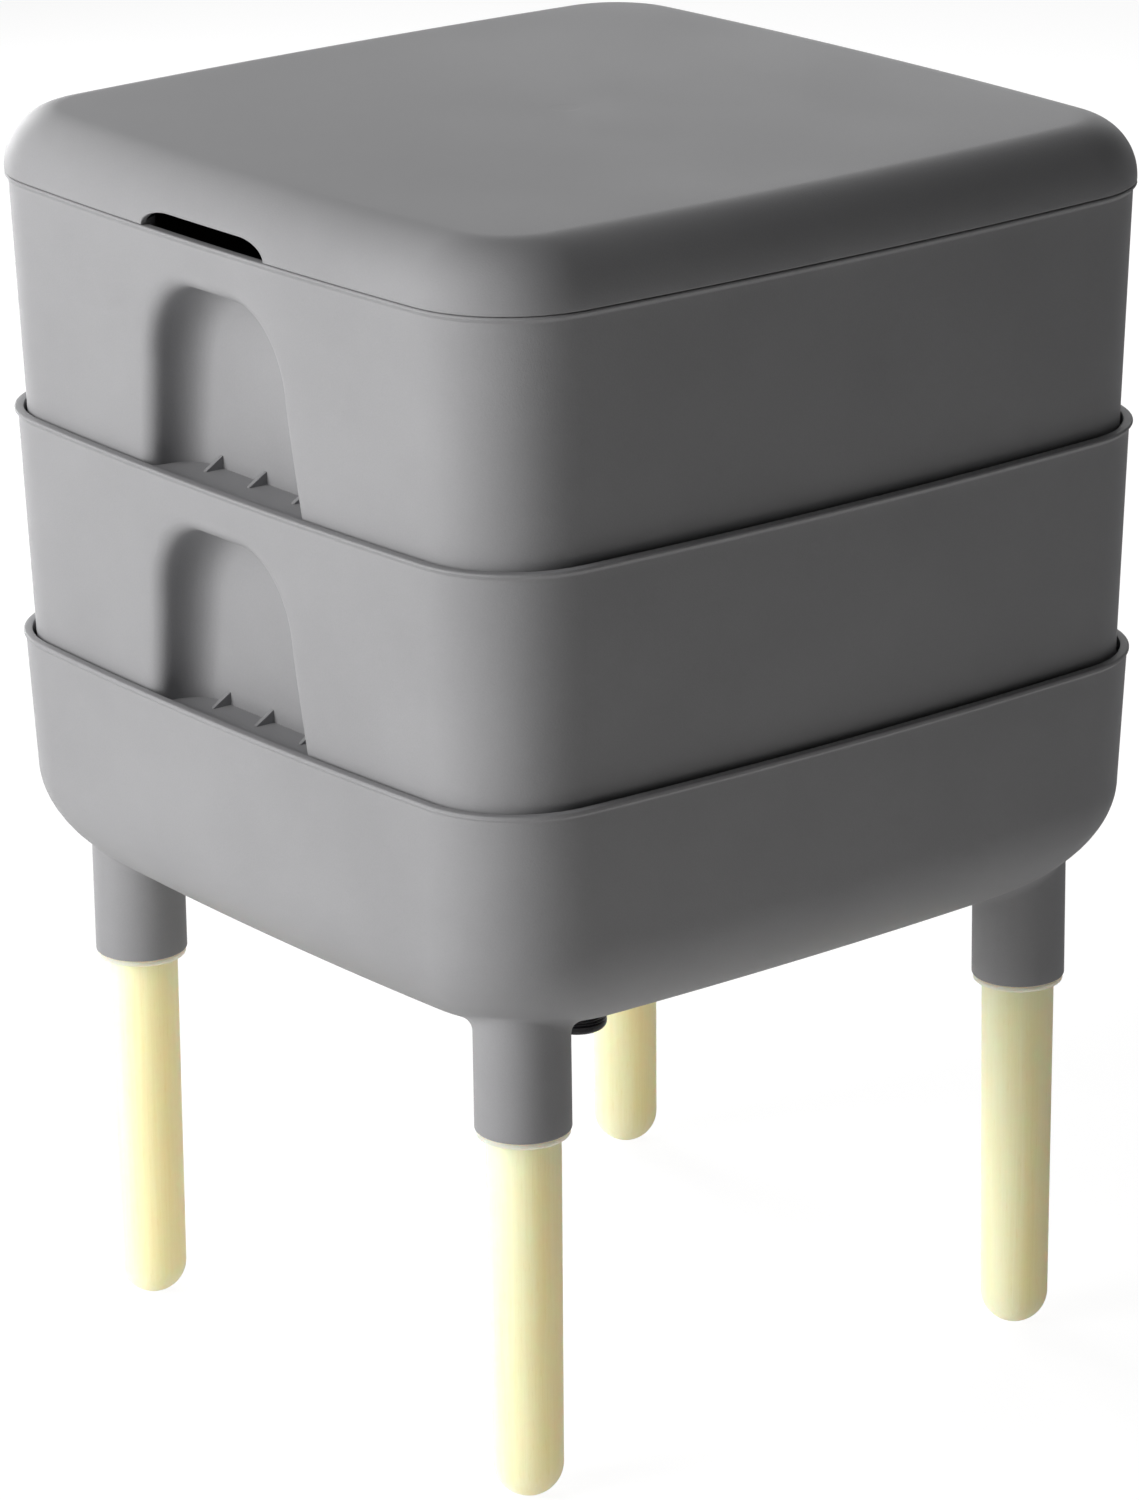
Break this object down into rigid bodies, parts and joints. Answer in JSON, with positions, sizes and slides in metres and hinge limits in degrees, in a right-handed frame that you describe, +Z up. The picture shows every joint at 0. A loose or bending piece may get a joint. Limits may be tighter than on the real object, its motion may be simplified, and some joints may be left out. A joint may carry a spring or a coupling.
{
  "type": "wormery",
  "caption": "Stacking wormery with a soft domed lid, perforated working trays with finger recesses and a collector tray on turned wooden legs, drained by a twist tap.",
  "frame": {"origin": "on the floor, under the middle of the four legs", "axes": "+Z up, -Y towards one of the two faces that have the finger recesses, +X to the right of it"},
  "size_m": [0.39, 0.39, 0.5658],
  "materials": {
    "grey_plastic": "fine matt moulded polypropylene",
    "pale_wood": "pale turned beech, clear matt varnish",
    "black_plastic": "satin moulded plastic",
    "black_rubber": "plain rubber",
    "clip_steel": "spring steel",
    "jute": "coarse felted jute"
  },
  "bodies": {
    "collector": {"base_tray": "grey_plastic", "front_left_leg": "pale_wood", "front_right_leg": "pale_wood", "back_left_leg": "pale_wood", "back_right_leg": "pale_wood", "tap_body": "black_plastic", "tap_inner_washer": "black_rubber", "tap_outer_washer": "black_rubber", "tap_lock_nut": "black_plastic", "tap_retaining_clip": "clip_steel", "tap_sealing_ring": "black_rubber", "tap_seal_disc": "black_rubber"},
    "collar": {"tap_collar": "black_plastic"},
    "strainer": {"drain_strainer": "black_plastic"},
    "middle": {"middle_tray": "grey_plastic"},
    "upper": {"upper_tray": "grey_plastic"},
    "mat": {"moisture_mat": "jute"},
    "cover": {"lid": "grey_plastic"}
  },
  "joints": [
    {"name": "tap_collar_turn", "type": "hinge", "parent": "collector", "child": "collar", "pos_m": [0, 0, 0.15], "axis": [0, 0, 1], "range_deg": [0, 180]},
    {"name": "strainer_lift", "type": "slide", "parent": "collector", "child": "strainer", "axis": [0, 0, 1], "range_m": [0, 0.05]},
    {"name": "middle_tray_lift", "type": "slide", "parent": "collector", "child": "middle", "axis": [0, 0, 1], "range_m": [0, 0.12]},
    {"name": "upper_tray_lift", "type": "slide", "parent": "middle", "child": "upper", "axis": [0, 0, 1], "range_m": [0, 0.12]},
    {"name": "mat_lift", "type": "slide", "parent": "upper", "child": "mat", "axis": [0, 0, 1], "range_m": [0, 0.1]},
    {"name": "lid_lift", "type": "slide", "parent": "upper", "child": "cover", "axis": [0, 0, 1], "range_m": [0, 0.15]}
  ]
}
